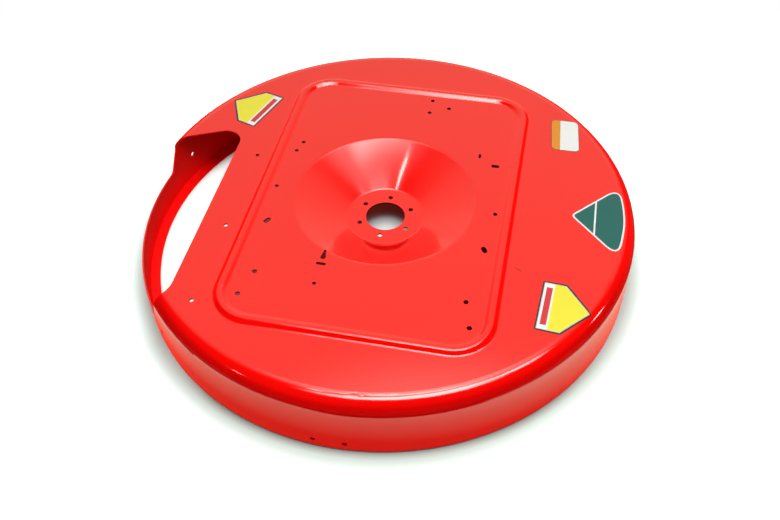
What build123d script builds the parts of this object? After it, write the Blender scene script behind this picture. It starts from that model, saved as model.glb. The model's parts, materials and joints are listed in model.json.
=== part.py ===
"""Mower deck shell: one round steel pressing that covers a single blade.

The shell stands on its rim, which is turned inwards. +Z is up through the spindle, +Y runs along
the long side of the stiffening bead, and grass leaves through the cut-out on the -X side.
All sizes are in millimetres, angles in degrees.
"""

import os
from math import cos, radians, sin, tan

from build123d import *

# Sheet and outside form
deck_diameter = 880.0  # outside of the skirt
deck_height = 126.0  # ground to the top of the flat plate
sheet = 2.7  # steel sheet, about 12 gauge
shoulder_radius = 27.0  # outside bend between plate and skirt
rim_flange = 21.0  # width of the rim that is turned inwards, leaving a mouth of 838
rim_bevel = 3.5  # short slope that stands for the tight bend between skirt and rim

# Well in the middle, with the spindle's seat at its bottom
spindle_bore = 70.4  # lets the spindle housing's spigot through
bolt_edge = 13.5  # edge of the bore out to the bolt circle
bolt_count = 6
bolt_hole = 8.4  # clearance for a 5/16 in bolt
seat_land = 20.3  # bolt circle out to the foot of the sloping wall
well_depth = 47.5  # plate down to the seat
well_run = 93.0  # width of the sloping wall, seen from above
well_foot_bend = 12.0  # bend radius at the seat, on the upper side
well_rim_bend = 14.0  # bend radius at the plate, on the upper side

# Stiffening bead, pressed upwards in a rounded rectangle and placed by its centre line
bead_side_gap = 58.0  # well's rim out to the bead's long sides
bead_end_margin = 129.0  # skirt in to the bead's short sides
bead_corner = 60.0
bead_height = 5.5
bead_crest = 7.0  # width across the top, bends included
bead_slope = 36.0  # steepness of its flanks
bead_bend = 6.0  # bend radius at foot and crest, on the upper side

# Discharge cut-out through plate, shoulder and upper skirt
discharge_reach = 139.0  # skirt in to the straight edge
discharge_front = -283.7  # Y where the front edge meets the straight edge's line
discharge_back = 141.0  # Y where the back edge meets the straight edge's line
discharge_front_slant = 30.0  # how far the front edge turns to the front on its way to the skirt
discharge_back_slant = 23.6  # the same for the back edge
discharge_front_round = 40.0
discharge_back_round = 30.0
discharge_lean = 27.0  # how far both edges lean into the opening on their way down the skirt
band_height = 58.0  # strip of skirt that runs on below the cut-out
band_round = 12.0  # where the leaning edges meet that strip

# Bolt holes for the discharge chute, on the plate and on the skirt at both ends
chute_hole = 7.2  # clearance for a 1/4 in bolt
chute_inset = 44.4  # straight edge in to the row of holes
chute_rows = (66.6, -118.7, -290.5)  # Y of each hole
chute_skirt_hole = 8.7
chute_back_angle = 163.4
chute_back_height = 53.0
chute_front_angle = -136.5
chute_front_height = 44.4

# Pair of holes low on the front of the skirt
skirt_hole = 8.7
skirt_hole_spacing = 51.4
skirt_hole_height = 19.0

# Hanger holes, in mirrored pairs about the Y axis
hanger_hole = 8.4
hanger_outer_x = 188.3
hanger_outer_y = -263.2
hanger_inner_x = 175.7
hanger_inner_y = -212.2
side_hole = 7.5
side_hole_x = 197.4
side_hole_y = -7.2
hanger_slot_length = 14.5
hanger_slot_width = 8.3
hanger_slot_x = 189.4
hanger_slot_y = -94.6
hanger_slot_lean = 30.0  # lean of the slot away from the Y axis, outwards to the front

# Holes and slots that are on one side only
idler_hole = 7.2
idler_holes = ((-181.5, 118.4), (-188.1, 92.9))
cross_slot_length = 14.8
cross_slot_width = 7.2
cross_slot_place = (182.1, 116.5)
upright_slot_length = 11.0
upright_slot_width = 4.6
upright_slot_place = (150.9, 139.2)
guide_hole = 7.5
guide_holes = ((37.5, 286.4), (37.5, 248.7), (72.9, 267.6))

# Spring anchor: a hole, a slot and a keyhole in one line along Y
spring_line = -72.2  # X of all three
spring_hole = 6.6
spring_hole_row = -219.2
spring_slot_length = 16.5
spring_slot_width = 5.6
spring_slot_row = -175.4
keyhole_row = -160.6  # centre of the round mouth
keyhole_mouth = 8.8
keyhole_neck = 4.4
keyhole_flare = 10.5  # mouth's centre to where the sides reach the neck
keyhole_reach = 17.6  # mouth's centre to the far end of the neck

# Sizes that follow from those above
deck_radius = deck_diameter / 2
mouth_radius = deck_radius - rim_flange
seat_height = deck_height - well_depth
bolt_circle_radius = spindle_bore / 2 + bolt_edge
seat_radius = bolt_circle_radius + seat_land
well_rim_radius = seat_radius + well_run
bead_width = 2 * (well_rim_radius + bead_side_gap)
bead_length = 2 * (deck_radius - bead_end_margin)
bead_foot = bead_crest + 2 * bead_height / tan(radians(bead_slope))
discharge_edge = discharge_reach - deck_radius
chute_line = discharge_edge + chute_inset
through = 5 * sheet  # how far a cut runs on each side of the face it starts from


# Solid that the discharge takes away: upright through plate and shoulder, and narrowing down the skirt
skirt_clear = -(deck_radius + through)
skirt_top = deck_height - shoulder_radius
front_fall = (discharge_edge - skirt_clear) * tan(radians(discharge_front_slant))
back_fall = (discharge_edge - skirt_clear) * tan(radians(discharge_back_slant))
with BuildPart() as discharge_cut:
    with BuildSketch(Plane.XY.offset(band_height)) as cut_plan:
        Polygon(
            (skirt_clear, discharge_front - front_fall),
            (discharge_edge, discharge_front),
            (discharge_edge, discharge_back),
            (skirt_clear, discharge_back - back_fall),
            align=None,
        )
    extrude(amount=skirt_top - band_height)
    for side, corner_row, slant in (
        (-1, discharge_front, discharge_front_slant),
        (1, discharge_back, discharge_back_slant),
    ):
        out_of_cut = Vector(0, side, 0).rotate(Axis.Z, slant) * cos(radians(discharge_lean))
        leaning_face = Plane(
            (discharge_edge, corner_row, skirt_top),
            x_dir=Vector(1, 0, 0).rotate(Axis.Z, slant),
            z_dir=out_of_cut - Vector(0, 0, sin(radians(discharge_lean))),
        )
        split(bisect_by=leaning_face, keep=Keep.BOTTOM)
    lower_edges = discharge_cut.edges().group_by(Axis.Z)[0]
    fillet(lower_edges.filter_by(Axis.Y, reverse=True), radius=band_round)
    with BuildSketch(Plane.XY.offset(skirt_top)) as plate_plan:
        add(cut_plan.sketch_local)
        fillet(plate_plan.vertices().group_by(Axis.X)[-1].sort_by(Axis.Y)[0], radius=discharge_front_round)
        fillet(plate_plan.vertices().sort_by(Axis.Y)[-1], radius=discharge_back_round)
    extrude(amount=shoulder_radius + through)

# Outside of the pressing as a full solid
with BuildPart() as outer_form:
    # Turned form: half-section from the axis out over the plate, down the skirt and in along the rim
    with BuildSketch(Plane.XZ) as half_section:
        with BuildLine() as outline:
            upper_side = FilletPolyline(
                (0, seat_height),
                (seat_radius, seat_height),
                (well_rim_radius, deck_height),
                (deck_radius, deck_height),
                (deck_radius, rim_bevel),
                radius=[well_foot_bend, well_rim_bend, shoulder_radius],
            )
            Polyline(upper_side @ 1, (deck_radius - rim_bevel, 0), (0, 0), upper_side @ 0)
        make_face()
    revolve(axis=Axis.Z)

    # Bead: a ring with sloping flanks, rounded at foot and crest
    with BuildSketch(Plane.XY.offset(deck_height)) as bead_plan:
        RectangleRounded(bead_width + bead_foot, bead_length + bead_foot, bead_corner + bead_foot / 2)
        RectangleRounded(
            bead_width - bead_foot,
            bead_length - bead_foot,
            bead_corner - bead_foot / 2,
            mode=Mode.SUBTRACT,
        )
    extrude(amount=bead_height, taper=90 - bead_slope)
    fillet(outer_form.edges(Select.LAST).filter_by(Plane.XY), radius=bead_bend)

# Space under the sheet, with the mouth that the rim leaves open
with BuildPart() as hollow:
    add(outer_form.part)
    offset(amount=-sheet)
    with BuildSketch() as mouth:
        Circle(mouth_radius)
    extrude(amount=2 * sheet)

with BuildPart() as deck_shell:
    # Sheet of one thickness all over
    add(outer_form.part)
    add(hollow.part, mode=Mode.SUBTRACT)

    # Discharge cut-out
    add(discharge_cut.part, mode=Mode.SUBTRACT)

    # Spindle bore and its ring of bolt holes in the seat
    with BuildSketch(Plane.XY.offset(seat_height)) as seat_holes:
        Circle(spindle_bore / 2)
        with PolarLocations(bolt_circle_radius, bolt_count, start_angle=90):
            Circle(bolt_hole / 2)
    extrude(amount=through, both=True, mode=Mode.SUBTRACT)

    # Punched holes in the plate
    with BuildSketch(Plane.XY.offset(deck_height)) as plate_holes:
        with Locations(*[(chute_line, row) for row in chute_rows]):
            Circle(chute_hole / 2)
        for side in (-1, 1):
            with Locations((side * hanger_outer_x, hanger_outer_y), (side * hanger_inner_x, hanger_inner_y)):
                Circle(hanger_hole / 2)
            with Locations((side * side_hole_x, side_hole_y)):
                Circle(side_hole / 2)
            with Locations((side * hanger_slot_x, hanger_slot_y)):
                SlotOverall(hanger_slot_length, hanger_slot_width, rotation=90 + side * hanger_slot_lean)
        with Locations(*idler_holes):
            Circle(idler_hole / 2)
        with Locations(cross_slot_place):
            SlotOverall(cross_slot_length, cross_slot_width)
        with Locations(upright_slot_place):
            SlotOverall(upright_slot_length, upright_slot_width, rotation=90)
        with Locations(*guide_holes):
            Circle(guide_hole / 2)
        with Locations((spring_line, spring_hole_row)):
            Circle(spring_hole / 2)
        with Locations((spring_line, spring_slot_row)):
            SlotOverall(spring_slot_length, spring_slot_width)
    extrude(amount=through, both=True, mode=Mode.SUBTRACT)

    # Keyhole: a round mouth that narrows into a straight neck
    with BuildSketch(Plane.XY.offset(deck_height)) as keyhole:
        with Locations((spring_line, keyhole_row)):
            Circle(keyhole_mouth / 2)
        with Locations((spring_line, keyhole_row + keyhole_flare)):
            Circle(keyhole_neck / 2)
        make_hull()
        with Locations((spring_line, keyhole_row + keyhole_reach / 2)):
            Rectangle(keyhole_neck, keyhole_reach - keyhole_neck)
        with Locations((spring_line, keyhole_row + keyhole_reach - keyhole_neck / 2)):
            Circle(keyhole_neck / 2)
    extrude(amount=through, both=True, mode=Mode.SUBTRACT)

    # Chute holes in the skirt, square to its face
    for angle, height in (
        (chute_back_angle, chute_back_height),
        (chute_front_angle, chute_front_height),
    ):
        outward = Vector(1, 0, 0).rotate(Axis.Z, angle)
        with BuildSketch(Plane(outward * deck_radius + Vector(0, 0, height), z_dir=outward)):
            Circle(chute_skirt_hole / 2)
        extrude(amount=through, both=True, mode=Mode.SUBTRACT)

    # Pair of holes low on the front, drilled along Y
    with BuildSketch(Plane.XZ.offset(deck_radius)) as front_holes:
        with GridLocations(skirt_hole_spacing, 0, 2, 1):
            with Locations((0, skirt_hole_height)):
                Circle(skirt_hole / 2)
    extrude(amount=through, both=True, mode=Mode.SUBTRACT)

os.makedirs("parts", exist_ok=True)
deck_shell.part.label = "deck_shell"
export_step(deck_shell.part, "parts/deck_shell.step")
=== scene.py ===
import json
from math import pi, radians

import bmesh
import bpy
from mathutils import Matrix, Vector


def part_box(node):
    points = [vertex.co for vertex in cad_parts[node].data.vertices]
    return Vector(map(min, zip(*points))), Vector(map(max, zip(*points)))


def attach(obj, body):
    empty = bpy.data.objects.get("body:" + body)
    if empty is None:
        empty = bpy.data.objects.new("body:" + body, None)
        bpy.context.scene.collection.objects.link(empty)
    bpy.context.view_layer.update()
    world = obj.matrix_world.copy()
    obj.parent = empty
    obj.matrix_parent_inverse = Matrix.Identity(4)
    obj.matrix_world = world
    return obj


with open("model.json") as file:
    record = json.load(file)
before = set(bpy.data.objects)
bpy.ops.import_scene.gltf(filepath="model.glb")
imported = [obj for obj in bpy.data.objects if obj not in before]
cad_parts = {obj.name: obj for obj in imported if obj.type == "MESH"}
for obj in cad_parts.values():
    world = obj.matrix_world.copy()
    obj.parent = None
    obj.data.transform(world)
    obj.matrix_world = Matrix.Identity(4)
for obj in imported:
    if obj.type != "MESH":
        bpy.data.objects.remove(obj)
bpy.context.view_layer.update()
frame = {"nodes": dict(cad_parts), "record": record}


# Deck shell: one deep-drawn sheet-steel pressing with the well, the bead and every hole in it.
# It is powder coated in gloss red inside and out. The powder melts and flows in the oven, so the coat
# is smooth over all bends, with a faint orange peel and a film that is a little thicker here and there.
mm = 0.001
shell = frame["nodes"]["deck_shell"]
mounts = {mount["name"]: mount for mount in frame["record"]["mounts"]}
plate_top = mounts["hanger_outer"]["pos_m"][2]
seat_top = mounts["spindle_bolts"]["pos_m"][2]
deck_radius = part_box("deck_shell")[1].x
sheet = 2.7 * mm


def linear(hex_colour):
    """Linear red, green, blue and alpha of an sRGB colour such as 'C81E0F'."""
    channels = [int(hex_colour[i : i + 2], 16) / 255 for i in (0, 2, 4)]
    return [c / 12.92 if c <= 0.04045 else ((c + 0.055) / 1.055) ** 2.4 for c in channels] + [1.0]


def add_node(tree, kind, links=(), values=(), **settings):
    """A new node with its settings and the values of its inputs.

    Each link is (input of this node, other node, its output).
    """
    node = tree.nodes.new(kind)
    for name, value in settings.items():
        setattr(node, name, value)
    for socket, value in dict(values).items():
        node.inputs[socket].default_value = value
    for socket, source, output in links:
        tree.links.new(source.outputs[output], node.inputs[socket])
    return node


def new_material(name):
    """An empty node material, with its tree and its output node."""
    material = bpy.data.materials.new(name)
    material.use_nodes = True
    tree = material.node_tree
    tree.nodes.clear()
    return material, tree, add_node(tree, "ShaderNodeOutputMaterial")


def blot(tree, place, centre, reach, inner, outer, level=1.0, turn=0.0):
    """Is level in the middle of an ellipse and fades to 0 from inner to outer, in shares of its reach."""
    framed = add_node(
        tree,
        "ShaderNodeMapping",
        [("Vector", place, "Object")],
        {"Location": centre, "Rotation": (0, 0, turn), "Scale": reach},
        vector_type="TEXTURE",
    )
    share = add_node(tree, "ShaderNodeVectorMath", [(0, framed, "Vector")], operation="LENGTH")
    return add_node(
        tree,
        "ShaderNodeMapRange",
        [("Value", share, "Value")],
        {"From Min": inner, "From Max": outer, "To Min": level, "To Max": 0},
        interpolation_type="SMOOTHSTEP",
    )


peel_size = 3.5 * mm  # orange peel is finer on the real coat, and this coarse it still shows up close
peel_depth = 0.012 * mm
film_patch = 180 * mm  # size of the patches where the film is thicker or thinner

powder_coat, tree, output = new_material("gloss_red_powder_coat")
place = add_node(tree, "ShaderNodeTexCoord")
spot = add_node(tree, "ShaderNodeSeparateXYZ", [("Vector", place, "Object")])
patches = add_node(
    tree, "ShaderNodeTexNoise", [("Vector", place, "Object")], {"Scale": 1 / film_patch, "Detail": 3}
)
colour = add_node(
    tree,
    "ShaderNodeMix",
    [("Factor", patches, "Fac")],
    {"A": linear("FC0402"), "B": linear("FF0503")},
    data_type="RGBA",
)
film_rough = add_node(
    tree, "ShaderNodeMapRange", [("Value", patches, "Fac")], {"To Min": 0.09, "To Max": 0.13}
)
peel = add_node(
    tree, "ShaderNodeTexNoise", [("Vector", place, "Object")], {"Scale": 1 / peel_size, "Detail": 1}
)
relief = add_node(tree, "ShaderNodeBump", [("Height", peel, "Fac")], {"Distance": peel_depth})

# Painted shade: the walls of the punched holes in the plate and in the seat are darkened, since they lie
# in shade.
wall_lean = 0.25  # a wall is upright where its normal rises no more than this
wall_half = 0.48 * sheet  # to each side of the sheet's middle, which leaves the edges red
cut_edge = -299 * mm  # X just beside the discharge cut-out, whose edge gets no painted shade
seat_reach = 120 * mm  # holds the whole seat, as seen from the middle of the mouth
plate_middle = plate_top - sheet / 2
seat_middle = seat_top - sheet / 2
facing = add_node(tree, "ShaderNodeSeparateXYZ", [("Vector", place, "Normal")])
upright = add_node(tree, "ShaderNodeMath", [(0, facing, "Z")], {1: 0, 2: wall_lean}, operation="COMPARE")
at_plate = add_node(
    tree, "ShaderNodeMath", [(0, spot, "Z")], {1: plate_middle, 2: wall_half}, operation="COMPARE"
)
beside_cut = add_node(tree, "ShaderNodeMath", [(0, spot, "X")], {1: cut_edge}, operation="GREATER_THAN")
plate_walls = add_node(
    tree, "ShaderNodeMath", [(0, at_plate, "Value"), (1, beside_cut, "Value")], operation="MULTIPLY"
)
at_seat = add_node(
    tree, "ShaderNodeMath", [(0, spot, "Z")], {1: seat_middle, 2: wall_half}, operation="COMPARE"
)
reach = add_node(tree, "ShaderNodeVectorMath", [(0, place, "Object")], operation="LENGTH")
in_seat = add_node(tree, "ShaderNodeMath", [(0, reach, "Value")], {1: seat_reach}, operation="LESS_THAN")
seat_walls = add_node(
    tree, "ShaderNodeMath", [(0, at_seat, "Value"), (1, in_seat, "Value")], operation="MULTIPLY"
)
both_walls = add_node(
    tree, "ShaderNodeMath", [(0, plate_walls, "Value"), (1, seat_walls, "Value")], operation="MAXIMUM"
)
shaded_hole_walls = add_node(
    tree, "ShaderNodeMath", [(0, both_walls, "Value"), (1, upright, "Value")], operation="MULTIPLY"
)
# The painted shade of the hole walls goes into the coat's colour here.
hole_shade_painted = add_node(
    tree,
    "ShaderNodeMix",
    [("Factor", shaded_hole_walls, "Value"), ("A", colour, "Result")],
    {"B": linear("2A0605")},
    data_type="RGBA",
)

# A nick in the coat beside the bead, from a tool that slipped.
nick_place = (249.5 * mm, -127.6 * mm, plate_top)
nick_reach = (7.5 * mm, 1.2 * mm, 2 * mm)
nick_turn = radians(-28)
nick = blot(tree, place, nick_place, nick_reach, inner=0.6, outer=1.3, turn=nick_turn)
nicked = add_node(
    tree,
    "ShaderNodeMix",
    [("Factor", nick, "Result"), ("A", hole_shade_painted, "Result")],
    {"B": linear("9A0606")},
    data_type="RGBA",
)

# On the skirt's inner face and on the rim the powder lies thinner, and the coat is duller.
inner_start = deck_radius - 40 * mm
inward_lean = 0.15  # a face looks inwards where its normal leans in more than this
rim_middle = deck_radius - 22.5 * mm
rim_half = 20.5 * mm
rim_top = 2 * sheet
plan = add_node(
    tree, "ShaderNodeVectorMath", [(0, place, "Object")], {1: (1, 1, 0)}, operation="MULTIPLY"
)
radius = add_node(tree, "ShaderNodeVectorMath", [(0, plan, "Vector")], operation="LENGTH")
near_skirt = add_node(
    tree, "ShaderNodeMath", [(0, radius, "Value")], {1: inner_start}, operation="GREATER_THAN"
)
outward = add_node(
    tree, "ShaderNodeVectorMath", [(0, plan, "Vector"), (1, place, "Normal")], operation="DOT_PRODUCT"
)
looks_in = add_node(
    tree,
    "ShaderNodeMath",
    [(0, outward, "Value")],
    {1: -inward_lean * deck_radius},
    operation="LESS_THAN",
)
inner_skirt = add_node(
    tree, "ShaderNodeMath", [(0, near_skirt, "Value"), (1, looks_in, "Value")], operation="MULTIPLY"
)
over_rim = add_node(
    tree, "ShaderNodeMath", [(0, radius, "Value")], {1: rim_middle, 2: rim_half}, operation="COMPARE"
)
low_down = add_node(tree, "ShaderNodeMath", [(0, spot, "Z")], {1: rim_top}, operation="LESS_THAN")
rim = add_node(
    tree, "ShaderNodeMath", [(0, over_rim, "Value"), (1, low_down, "Value")], operation="MULTIPLY"
)
inner_side = add_node(
    tree, "ShaderNodeMath", [(0, inner_skirt, "Value"), (1, rim, "Value")], operation="MAXIMUM"
)
coat_rough = add_node(
    tree, "ShaderNodeMix", [("Factor", inner_side, "Value"), ("A", film_rough, "Result")], {"B": 0.5}
)
coat_shine = add_node(
    tree, "ShaderNodeMapRange", [("Value", inner_side, "Value")], {"To Min": 0.5, "To Max": 0.15}
)
clear_coat = add_node(
    tree, "ShaderNodeMapRange", [("Value", inner_side, "Value")], {"To Min": 0.8, "To Max": 0}
)

gloss = add_node(
    tree,
    "ShaderNodeBsdfPrincipled",
    [
        ("Base Color", nicked, "Result"),
        ("Roughness", coat_rough, "Result"),
        ("Normal", relief, "Normal"),
        ("Specular IOR Level", coat_shine, "Result"),
        ("Coat Weight", clear_coat, "Result"),
    ],
    {"Metallic": 0.12, "IOR": 1.5, "Coat Roughness": 0.06},
)
tree.links.new(gloss.outputs["BSDF"], output.inputs["Surface"])

for slot in shell.material_slots:
    slot.material = powder_coat


# Five-sided stickers: two pieces of printed vinyl film, die cut and rubbed on by hand, one at the back
# left and one at the front right. Each has a dark border with a pale line inside it, a yellow field and a
# white band with a red bar. The clear laminate on top is a little duller than the paint around it.
film = 0.2 * mm
grid_step = 8 * mm  # the film is cut this fine so that it follows the shoulder's bend
shoulder_radius = 27 * mm
flat_radius = deck_radius - shoulder_radius
tooth_size = 12 * mm  # patches of slightly duller laminate
thin_print = 0.94  # share of the colour where the ink is thinnest


def vinyl(name, hex_colour):
    """Printed vinyl film under a clear laminate: an even colour with a slight tooth in the gloss."""
    material, tree, output = new_material(name)
    place = add_node(tree, "ShaderNodeTexCoord")
    tooth = add_node(tree, "ShaderNodeTexNoise", [("Vector", place, "Object")], {"Scale": 1 / tooth_size})
    print_tone = add_node(
        tree,
        "ShaderNodeMix",
        [("Factor", tooth, "Fac")],
        {"A": [thin_print * c for c in linear(hex_colour)], "B": linear(hex_colour)},
        data_type="RGBA",
    )
    rough = add_node(
        tree, "ShaderNodeMapRange", [("Value", tooth, "Fac")], {"To Min": 0.16, "To Max": 0.24}
    )
    laminate = add_node(
        tree,
        "ShaderNodeBsdfPrincipled",
        [("Base Color", print_tone, "Result"), ("Roughness", rough, "Result")],
    )
    tree.links.new(laminate.outputs["BSDF"], output.inputs["Surface"])
    return material


def film_sheet(corners, borders, roundings=()):
    """Flat film on the plate. Gives the mesh and the face that is left inside the borders.

    All are in millimetres. A border is a width, and a rounding a length off both sides of its corner.
    The border rings get material 0, 1 and so on from outside in.
    """
    mesh = bmesh.new()
    outline = [mesh.verts.new((x * mm, y * mm, plate_top)) for x, y in corners]
    mesh.faces.new(outline)
    bmesh.ops.recalc_face_normals(mesh, faces=mesh.faces[:])
    if mesh.faces[:][0].normal.z < 0:
        bmesh.ops.reverse_faces(mesh, faces=mesh.faces[:])
    for vert, rounding in zip(outline, roundings):
        bmesh.ops.bevel(
            mesh,
            geom=[vert],
            offset=rounding * mm,
            affect="VERTICES",
            segments=6,
            profile=0.5,
            material=-1,
        )
    raised = bmesh.ops.extrude_face_region(mesh, geom=mesh.faces[:])["geom"]
    bmesh.ops.translate(
        mesh, vec=(0, 0, film), verts=[part for part in raised if isinstance(part, bmesh.types.BMVert)]
    )
    top = next(part for part in raised if isinstance(part, bmesh.types.BMFace))
    for ring, border in enumerate(borders):
        for face in bmesh.ops.inset_region(mesh, faces=[top], thickness=border * mm)["faces"]:
            face.material_index = ring
    return mesh, top


def split_face(mesh, face, point, across):
    """Cuts a face along the line through point, square to across. Gives its near and its far piece."""
    cut = bmesh.ops.bisect_plane(
        mesh,
        geom=[face, *face.edges, *face.verts],
        plane_co=(point[0] * mm, point[1] * mm, 0),
        plane_no=(across[0], across[1], 0),
    )
    pieces = [part for part in cut["geom"] if isinstance(part, bmesh.types.BMFace)]
    return sorted(pieces, key=lambda piece: piece.calc_center_median().xy.dot(Vector(across)))


def lay_film(mesh, name, materials):
    """Cuts the film into a grid, lets it down over the shoulder and makes it a piece of the part."""
    low = Vector([min(vert.co[i] for vert in mesh.verts) for i in range(3)])
    high = Vector([max(vert.co[i] for vert in mesh.verts) for i in range(3)])
    for axis in (0, 1):
        square_to = [float(axis == i) for i in range(3)]
        for step in range(1, int((high[axis] - low[axis]) / grid_step) + 1):
            everything = [*mesh.verts, *mesh.edges, *mesh.faces]
            on_line = [(low[axis] + step * grid_step) * part for part in square_to]
            bmesh.ops.bisect_plane(mesh, geom=everything, plane_co=on_line, plane_no=square_to)
    for vert in mesh.verts:
        beyond = max(0.0, vert.co.xy.length - flat_radius)
        vert.co.z -= shoulder_radius - (shoulder_radius**2 - beyond**2) ** 0.5
    bmesh.ops.recalc_face_normals(mesh, faces=mesh.faces[:])
    data = bpy.data.meshes.new(name)
    mesh.to_mesh(data)
    mesh.free()
    for material in materials:
        data.materials.append(material)
    piece = bpy.data.objects.new(name, data)
    bpy.context.scene.collection.objects.link(piece)
    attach(piece, "root")


dark_film = vinyl("vinyl_film_dark_border", "20282C")
pale_film = vinyl("vinyl_film_pale_line", "B4C0C8")
yellow_film = vinyl("vinyl_film_yellow", "F4EA3C")
white_film = vinyl("vinyl_film_white", "F2F5F4")
red_film = vinyl("vinyl_film_red", "D8363C")
sticker_films = [dark_film, pale_film, yellow_film, white_film, red_film]
sticker_borders = (3.2, 1.6)  # dark line and pale line
band_width = 20
bar_start, bar_end = 7.2, 17  # from the band's outer side
bar_margin = 12  # bare band beyond each end of the bar
die_corner = 2.5 * mm
sticker_corners = {
    "sticker_back_left": [(-255.5, 242.5), (-295.5, 255), (-351, 216.5), (-326, 156.5), (-288, 144.5)],
    "sticker_front_right": [(286, -246), (327, -250), (373.5, -200.5), (332, -146.5), (293, -144.5)],
}
for name, corners in sticker_corners.items():
    mesh, printed = film_sheet(corners, sticker_borders)
    band_foot, band_head = Vector(corners[0]), Vector(corners[-1])
    along = (band_head - band_foot).normalized()
    middle = sum((Vector(corner) for corner in corners), Vector((0, 0))) / len(corners)
    inward = Vector((-along.y, along.x))
    if inward.dot(middle - band_foot) < 0:
        inward = -inward
    band, field = split_face(mesh, printed, band_foot + band_width * inward, inward)
    field.material_index = sticker_films.index(yellow_film)
    band.material_index = sticker_films.index(white_film)
    bar = split_face(mesh, band, band_foot + bar_start * inward, inward)[1]
    bar = split_face(mesh, bar, band_foot + bar_end * inward, inward)[0]
    bar = split_face(mesh, bar, band_foot + bar_margin * along, along)[1]
    bar = split_face(mesh, bar, band_head - bar_margin * along, along)[0]
    bar.material_index = sticker_films.index(red_film)
    rising = [edge for edge in mesh.edges if abs(edge.verts[0].co.z - edge.verts[1].co.z) > film / 2]
    bmesh.ops.bevel(
        mesh, geom=rising, offset=die_corner, affect="EDGES", segments=4, profile=0.5, material=-1
    )
    lay_film(mesh, name, sticker_films)


# Small sticker at the back right: a rounded rectangle of the same film, white with an orange strip along
# the side that faces the well and a thin dark edge.
orange_film = vinyl("vinyl_film_orange", "E8942A")
edge_film = vinyl("vinyl_film_dark_edge", "6A4448")
small_films = [edge_film, orange_film, white_film]
small_corners = [(272, 271), (324, 271), (331, 184), (279, 183)]
small_border = 1.1
small_rounding = 9
strip_width = 17
strip_across = (0.998, 0.06)  # out of the strip into the white field
strip_foot = (Vector(small_corners[0]) + Vector(small_corners[3])) / 2
mesh, printed = film_sheet(small_corners, [small_border], [small_rounding] * len(small_corners))
strip, field = split_face(mesh, printed, strip_foot + Vector((strip_width, 0)), strip_across)
strip.material_index = small_films.index(orange_film)
field.material_index = small_films.index(white_film)
lay_film(mesh, "sticker_back_right", small_films)


# Badge at the right: a rounded triangle of green film with a white border and a white line across it. Its
# long side follows the round of the deck.
green_film = vinyl("vinyl_film_green", "126660")
badge_films = [white_film, green_film]
badge_row = 15  # Y of the tip and of the middle of the long side
badge_corners = [(326, badge_row), (407, 101), (416, 53), (419.5, badge_row), (417, -22), (410, -72)]
badge_roundings = [8, 30, 14, 14, 14, 30]
badge_border = 3.0
line_start, line_end = 366.2, 369.2  # X
mesh, printed = film_sheet(badge_corners, [badge_border], badge_roundings)
tip, wide = split_face(mesh, printed, (line_start, badge_row), (1, 0))
line, wide = split_face(mesh, wide, (line_end, badge_row), (1, 0))
for field in (tip, wide):
    field.material_index = badge_films.index(green_film)
line.material_index = badge_films.index(white_film)
lay_film(mesh, "sticker_badge", badge_films)


# Floor: a plain pale paper sweep that the deck stands on. It only shows the deck and isn't part of it.
# Away from the deck it fades into the white room. At the skirt's foot and under the deck a shadow is
# painted on it, save for the painted red light that the deck sheds on it and the painted light that falls
# in through the bore and the discharge.
floor_radius = 9.0
under_start, under_end = 0.40, 0.43  # from the deck's middle
contact = {"From Min": 0.457, "From Max": 0.425}  # the shadow at the skirt's foot, from the middle
contact_ahead = {"From Min": -0.12, "From Max": -0.36}  # Y, since it is deepest at the front
shade_across = {"From Min": -0.29, "From Max": -0.19}  # X, since light comes in from the left
room_fade = {"From Min": 0.436, "From Max": 0.512, "To Max": 0.78}  # from the deck's middle
room_white = {"From Min": 0.62, "From Max": 1.3}  # farther out, where it turns into the room's white
opening_slant = (1, 0.3, 0)  # square to the line where the light that falls in at the left ends
opening_light = {"From Min": -0.285, "From Max": -0.32, "To Max": 0.6}
bore_place = (-8 * mm, 30 * mm, 0)
bore_reach = (50 * mm, 50 * mm, 1)
bore_level = 0.85
red_across = {"From Min": -0.30, "From Max": 0.20, "To Min": 0.15, "To Max": 0.02}  # X
red_wash = 4  # how soon white light drowns the red


def rays_to_room(tree):
    """Is 1 for the rays that look at the room, straight, in a mirror or through glass."""
    path = add_node(tree, "ShaderNodeLightPath")
    seen = add_node(
        tree,
        "ShaderNodeMath",
        [(0, path, "Is Camera Ray"), (1, path, "Is Glossy Ray")],
        operation="MAXIMUM",
    )
    return add_node(
        tree,
        "ShaderNodeMath",
        [(0, seen, "Value"), (1, path, "Is Transmission Ray")],
        operation="MAXIMUM",
    )


def stage_piece(name, mesh, material):
    """Makes a mesh a piece of the studio."""
    data = bpy.data.meshes.new(name)
    mesh.to_mesh(data)
    mesh.free()
    data.materials.append(material)
    piece = bpy.data.objects.new(name, data)
    bpy.context.scene.collection.objects.link(piece)
    return piece


paper, tree, output = new_material("pale_paper")
room_rays = rays_to_room(tree)
place = add_node(tree, "ShaderNodeTexCoord")
away = add_node(tree, "ShaderNodeVectorMath", [(0, place, "Object")], operation="LENGTH")
spot = add_node(tree, "ShaderNodeSeparateXYZ", [("Vector", place, "Object")])
under = add_node(
    tree,
    "ShaderNodeMapRange",
    [("Value", away, "Value")],
    {"From Min": under_end, "From Max": under_start},
    interpolation_type="SMOOTHSTEP",
)
beside_foot = add_node(
    tree, "ShaderNodeMapRange", [("Value", away, "Value")], contact, interpolation_type="SMOOTHSTEP"
)
ahead = add_node(
    tree, "ShaderNodeMapRange", [("Value", spot, "Y")], contact_ahead, interpolation_type="SMOOTHSTEP"
)
shade = add_node(
    tree, "ShaderNodeMapRange", [("Value", spot, "X")], shade_across, interpolation_type="SMOOTHSTEP"
)
foot_shadow = add_node(
    tree, "ShaderNodeMath", [(0, beside_foot, "Result"), (1, ahead, "Result")], operation="MULTIPLY"
)
shadow = add_node(
    tree, "ShaderNodeMath", [(0, under, "Result"), (1, foot_shadow, "Value")], operation="MAXIMUM"
)
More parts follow.
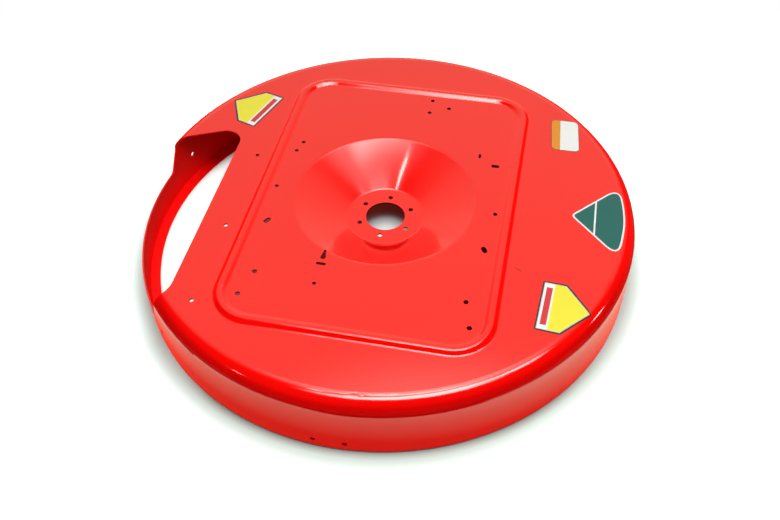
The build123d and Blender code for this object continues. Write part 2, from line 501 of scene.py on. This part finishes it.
dark = add_node(
    tree, "ShaderNodeMath", [(0, shadow, "Value"), (1, shade, "Result")], operation="MULTIPLY"
)
# Painted shadow: the paper's colour turns dark where the shadow falls.
painted_shadow_tone = add_node(
    tree,
    "ShaderNodeMix",
    [("Factor", dark, "Value")],
    {"A": linear("D6F4EE"), "B": linear("4A3A34")},
    data_type="RGBA",
)
shadowed_paper = add_node(tree, "ShaderNodeBsdfDiffuse", [("Color", painted_shadow_tone, "Result")])

# White light on the paper: from the room, in through the opening and down through the bore.
room_light = add_node(
    tree, "ShaderNodeMapRange", [("Value", away, "Value")], room_fade, interpolation_type="SMOOTHSTEP"
)
slant = add_node(
    tree, "ShaderNodeVectorMath", [(0, place, "Object")], {1: opening_slant}, operation="DOT_PRODUCT"
)
opening = add_node(
    tree,
    "ShaderNodeMapRange",
    [("Value", slant, "Value")],
    opening_light,
    interpolation_type="SMOOTHSTEP",
)
let_in = add_node(
    tree, "ShaderNodeMath", [(0, opening, "Result"), (1, under, "Result")], operation="MULTIPLY"
)
bore = blot(tree, place, bore_place, bore_reach, inner=0.0, outer=1.3, level=bore_level)
sideways = add_node(
    tree, "ShaderNodeMath", [(0, room_light, "Result"), (1, let_in, "Value")], operation="MAXIMUM"
)
white_light = add_node(
    tree, "ShaderNodeMath", [(0, sideways, "Value"), (1, bore, "Result")], operation="MAXIMUM"
)

# Red light on the paper under the deck, which shows only where the white light is weak.
red_fall = add_node(
    tree, "ShaderNodeMapRange", [("Value", spot, "X")], red_across, interpolation_type="SMOOTHSTEP"
)
red_light = add_node(
    tree, "ShaderNodeMath", [(0, red_fall, "Result"), (1, under, "Result")], operation="MULTIPLY"
)
outside = add_node(
    tree,
    "ShaderNodeMapRange",
    [("Value", away, "Value")],
    {"From Min": under_start, "From Max": under_end},
    interpolation_type="SMOOTHSTEP",
)
drowned = add_node(
    tree,
    "ShaderNodeMath",
    [(0, white_light, "Value"), (2, outside, "Result")],
    {1: red_wash},
    operation="MULTIPLY_ADD",
)
glow_tone = add_node(
    tree,
    "ShaderNodeMix",
    [("Factor", drowned, "Value")],
    {"A": linear("FF5848"), "B": linear("FFFFFF")},
    data_type="RGBA",
)
light = add_node(
    tree, "ShaderNodeMath", [(0, white_light, "Value"), (1, red_light, "Value")], operation="MAXIMUM"
)
seen_light = add_node(
    tree, "ShaderNodeMath", [(0, light, "Value"), (1, room_rays, "Value")], operation="MULTIPLY"
)
glow = add_node(
    tree, "ShaderNodeEmission", [("Strength", seen_light, "Value"), ("Color", glow_tone, "Result")]
)
near_deck = add_node(tree, "ShaderNodeAddShader", [(0, shadowed_paper, "BSDF"), (1, glow, "Emission")])
far = add_node(
    tree, "ShaderNodeMapRange", [("Value", away, "Value")], room_white, interpolation_type="SMOOTHSTEP"
)
far_rays = add_node(
    tree, "ShaderNodeMath", [(0, far, "Result"), (1, room_rays, "Value")], operation="MULTIPLY"
)
far_white = add_node(tree, "ShaderNodeEmission")
sweep = add_node(
    tree,
    "ShaderNodeMixShader",
    [("Fac", far_rays, "Value"), (1, near_deck, "Shader"), (2, far_white, "Emission")],
)
tree.links.new(sweep.outputs["Shader"], output.inputs["Surface"])

mesh = bmesh.new()
bmesh.ops.create_circle(mesh, cap_ends=True, segments=64, radius=floor_radius)
floor = stage_piece("floor", mesh, paper)
floor.visible_glossy = False


# Near paper: a glowing sheet that paints the floor's reflection in the gloss. The painted reflection is
# dark under the deck, red at the skirt's foot, pale a little farther out and dull red beyond. It ends a
# hand's width in front of the deck. Only mirror rays see it, and past its front edge they see the dark
# side of the room.
view_turn = radians(12.4)
to_right = Vector((1, 0, 0)) @ Matrix.Rotation(-view_turn, 3, "Z")
to_front = Vector((0, -1, 0)) @ Matrix.Rotation(-view_turn, 3, "Z")
near_left, near_right, near_front, near_back = -0.60, 0.68, 0.508, -2.5
near_level = 1.1
painted_reflection_tones = {  # by distance from the skirt in millimetres
    -110: "140202",
    -50: "801410",
    0: "FF4838",
    20: "FF4838",
    50: "FFA890",
    72: "FFE4D0",
    90: "F0DCCC",
    120: "703830",
    250: "703830",
    450: "FF3020",
}
side_stretch = 1.06  # the tones come this much closer at the sides


def for_mirrors(piece):
    """Hides a piece of the studio from all but mirror rays."""
    piece.visible_camera = False
    piece.visible_diffuse = False
    piece.visible_transmission = False
    piece.visible_shadow = False


painted_reflection_glow, tree, output = new_material("painted_reflection_glow")
place = add_node(tree, "ShaderNodeTexCoord")
stretched = add_node(
    tree, "ShaderNodeMapping", [("Vector", place, "Object")], {"Scale": (side_stretch, 1, 1)}
)
away = add_node(tree, "ShaderNodeVectorMath", [(0, stretched, "Vector")], operation="LENGTH")
first, last = min(painted_reflection_tones), max(painted_reflection_tones)
run = add_node(
    tree,
    "ShaderNodeMapRange",
    [("Value", away, "Value")],
    {"From Min": deck_radius + first * mm, "From Max": deck_radius + last * mm},
)
tones = add_node(tree, "ShaderNodeValToRGB", [("Fac", run, "Result")])
stops = tones.color_ramp.elements
stops[0].color = linear(painted_reflection_tones[first])
stops[-1].color = linear(painted_reflection_tones[last])
for distance in sorted(painted_reflection_tones)[1:-1]:
    stops.new((distance - first) / (last - first)).color = linear(painted_reflection_tones[distance])
near_glow = add_node(tree, "ShaderNodeEmission", [("Color", tones, "Color")], {"Strength": near_level})
tree.links.new(near_glow.outputs["Emission"], output.inputs["Surface"])

mesh = bmesh.new()
near_corners = (
    (near_left, near_back),
    (near_left, near_front),
    (near_right, near_front),
    (near_right, near_back),
)
mesh.faces.new([mesh.verts.new(right * to_right + front * to_front) for right, front in near_corners])
for_mirrors(stage_piece("painted_reflection_sheet", mesh, painted_reflection_glow))


# Lamps: two panels on the ceiling, one over the deck's front edge and a weaker one over the well, with
# three small lamps round them. Places are given to the right, to the front and up from the deck's middle,
# as the camera stands. In the gloss, five soft pools of light stand in for the panels.
ceiling = 2.5
lamp_colour = "FFFDF8"
lamps = {
    "front_panel": {"place": (0.19, 0.72, ceiling), "size": (1.94, 0.90), "radiance": 8.2},
    "well_panel": {"place": (0.39, -0.20, ceiling), "size": (1.00, 0.50), "radiance": 4.3},
    "spot_over_well": {"place": (-0.58, 0.04, ceiling), "size": (0.09, 0.19), "radiance": 16},
    "spot_left": {"place": (-1.65, 1.10, 1.05), "size": (0.14, 0.14), "radiance": 5},
    "spot_right": {"place": (2.00, 0.20, 0.85), "size": (0.20, 0.20), "radiance": 10},
}
panels = ("front_panel", "well_panel")
aimed_at_deck = ("spot_left", "spot_right")
for name, lamp in lamps.items():
    right, front, up = lamp["place"]
    lamp_data = bpy.data.lights.new(name, "AREA")
    lamp_data.shape = "RECTANGLE"
    lamp_data.size, lamp_data.size_y = lamp["size"]
    lamp_data.energy = lamp["radiance"] * pi * lamp_data.size * lamp_data.size_y
    lamp_data.color = linear(lamp_colour)[:3]
    lamp_object = bpy.data.objects.new(name, lamp_data)
    lamp_object.location = right * to_right + front * to_front + Vector((0, 0, up))
    lamp_object.rotation_euler = (0, 0, view_turn)
    if name in aimed_at_deck:
        lamp_object.rotation_euler = lamp_object.location.to_track_quat("Z", "Y").to_euler()
    lamp_object.visible_glossy = name not in panels
    bpy.context.scene.collection.objects.link(lamp_object)

pools = (
    {"right": 0.20, "front": 0.74, "reach": (0.87, 0.41, 1), "inner": 0.5, "outer": 1.5, "level": 12.0},
    {"right": 0.08, "front": -0.17, "reach": (0.58, 0.20, 1), "inner": 0.5, "outer": 1.3, "level": 7.0},
    {"right": 0.20, "front": -0.50, "reach": (0.75, 0.60, 1), "inner": 0.1, "outer": 1.7, "level": 3.8},
    {"right": 0.98, "front": 0.32, "reach": (0.60, 0.22, 1), "inner": 0.4, "outer": 1.4, "level": 8.0},
    {"right": 1.30, "front": 0.08, "reach": (0.32, 0.32, 1), "inner": 0.4, "outer": 1.3, "level": 7.0},
)
pool_span = 2.0
pool_height = ceiling + 0.02  # just above the small lamps
soft_light, tree, output = new_material("soft_light")
place = add_node(tree, "ShaderNodeTexCoord")
all_pools = add_node(tree, "ShaderNodeBsdfTransparent")
for pool in pools:
    centre = pool["right"] * to_right + pool["front"] * to_front + Vector((0, 0, pool_height))
    shape = {key: pool[key] for key in ("reach", "inner", "outer", "level")}
    spread = blot(tree, place, centre, turn=view_turn, **shape)
    pool_light = add_node(
        tree, "ShaderNodeEmission", [("Strength", spread, "Result")], {"Color": linear(lamp_colour)}
    )
    all_pools = add_node(tree, "ShaderNodeAddShader", [(0, all_pools, 0), (1, pool_light, 0)])
tree.links.new(all_pools.outputs["Shader"], output.inputs["Surface"])
mesh = bmesh.new()
bmesh.ops.create_grid(
    mesh, x_segments=1, y_segments=1, size=pool_span, matrix=Matrix.Translation((0, 0, pool_height))
)
for_mirrors(stage_piece("light_pools", mesh, soft_light))


# Room: white to look at, and it lights the deck most from behind. Mirror rays see a dome in front of it.
# The dome is white high up at the back, and red overhead and at the sides as a painted red reflection,
# which keeps what the coat mirrors there a pure red. On the camera's side it is dark along its foot,
# where unlit walls stand.
dome_radius = 6.0
dome_dark, painted_red_level, dome_white = 0.02, 1.5, 0.72
white_high = {"From Min": 0.85, "From Max": 1.4}  # to the back and up, added
white_foot = {"From Min": 0.90, "From Max": 0.99, "To Max": 0.6}  # to the back, down to the dome's foot
red_behind = {"From Min": 0.0, "From Max": 0.5, "To Min": dome_dark, "To Max": painted_red_level}  # to the back
red_above = {"From Min": 0.1, "From Max": 0.7}  # up
to_back = -to_front / dome_radius
upwards = Vector((0, 0, 1)) / dome_radius
room_reflection_dome, tree, output = new_material("room_reflection_dome")
place = add_node(tree, "ShaderNodeTexCoord")
behind = add_node(
    tree, "ShaderNodeVectorMath", [(0, place, "Object")], {1: to_back}, operation="DOT_PRODUCT"
)
above = add_node(
    tree, "ShaderNodeVectorMath", [(0, place, "Object")], {1: upwards}, operation="DOT_PRODUCT"
)
raised = add_node(
    tree, "ShaderNodeVectorMath", [(0, place, "Object")], {1: to_back + upwards}, operation="DOT_PRODUCT"
)
upper = add_node(
    tree, "ShaderNodeMapRange", [("Value", raised, "Value")], white_high, interpolation_type="SMOOTHSTEP"
)
lower = add_node(
    tree, "ShaderNodeMapRange", [("Value", behind, "Value")], white_foot, interpolation_type="SMOOTHSTEP"
)
white = add_node(
    tree, "ShaderNodeMath", [(0, lower, "Result"), (1, upper, "Result")], operation="MAXIMUM"
)
overhead = add_node(
    tree, "ShaderNodeMapRange", [("Value", above, "Value")], red_above, interpolation_type="SMOOTHSTEP"
)
beside = add_node(
    tree, "ShaderNodeMapRange", [("Value", behind, "Value")], red_behind, interpolation_type="SMOOTHSTEP"
)
# Painted red reflection: the share of the dome that glows red.
red = add_node(
    tree, "ShaderNodeMath", [(0, overhead, "Result"), (1, beside, "Result")], operation="MAXIMUM"
)
dome_level = add_node(
    tree, "ShaderNodeMix", [("Factor", white, "Value"), ("A", red, "Value")], {"B": dome_white}
)
dome_tint = add_node(
    tree,
    "ShaderNodeMix",
    [("Factor", white, "Value")],
    {"A": linear("FF2018"), "B": linear("FFF6DC")},
    data_type="RGBA",
)
dome_glow = add_node(
    tree, "ShaderNodeEmission", [("Strength", dome_level, "Result"), ("Color", dome_tint, "Result")]
)
tree.links.new(dome_glow.outputs["Emission"], output.inputs["Surface"])
mesh = bmesh.new()
bmesh.ops.create_icosphere(mesh, subdivisions=4, radius=dome_radius)
for_mirrors(stage_piece("dome", mesh, room_reflection_dome))

room_grade = {"From Min": -0.15, "From Max": 0.55, "To Min": 0.16, "To Max": 0.55}  # from front to back
world = bpy.data.worlds.new("pale_room")
world.use_nodes = True
tree = world.node_tree
tree.nodes.clear()
place = add_node(tree, "ShaderNodeTexCoord")
behind = add_node(
    tree, "ShaderNodeVectorMath", [(0, place, "Generated")], {1: -to_front}, operation="DOT_PRODUCT"
)
soft = add_node(
    tree, "ShaderNodeMapRange", [("Value", behind, "Value")], room_grade, interpolation_type="SMOOTHSTEP"
)
room_level = add_node(
    tree, "ShaderNodeMix", [("Factor", rays_to_room(tree), "Value"), ("A", soft, "Result")], {"B": 1}
)
room = add_node(
    tree, "ShaderNodeBackground", [("Strength", room_level, "Result")], {"Color": linear("FFFFFF")}
)
add_node(tree, "ShaderNodeOutputWorld", [("Surface", room, "Background")])
bpy.context.scene.world = world


# Camera: as high and as far off as in the photograph, turned a little to the right of the deck's front.
# Its place, turn, roll and focal length are fitted to the rim, the bead, the bore and the holes.
view_elevation = radians(47.812)
view_roll = radians(-1.242)
view_distance = 1.62914
view_aim = Vector((17.3, -48.1, 15.2)) * mm
image_width = 780
focal_pixels = 890.254

camera_data = bpy.data.cameras.new("camera")
camera_data.sensor_width = 36
camera_data.lens = focal_pixels * camera_data.sensor_width / image_width
camera = bpy.data.objects.new("camera", camera_data)
turned = (
    Matrix.Rotation(view_turn, 4, "Z")
    @ Matrix.Rotation(pi / 2 - view_elevation, 4, "X")
    @ Matrix.Rotation(view_roll, 4, "Z")
)
camera.matrix_world = Matrix.Translation(view_aim) @ turned @ Matrix.Translation((0, 0, view_distance))
bpy.context.scene.collection.objects.link(camera)
bpy.context.scene.camera = camera
bpy.context.scene.view_settings.view_transform = "Standard"
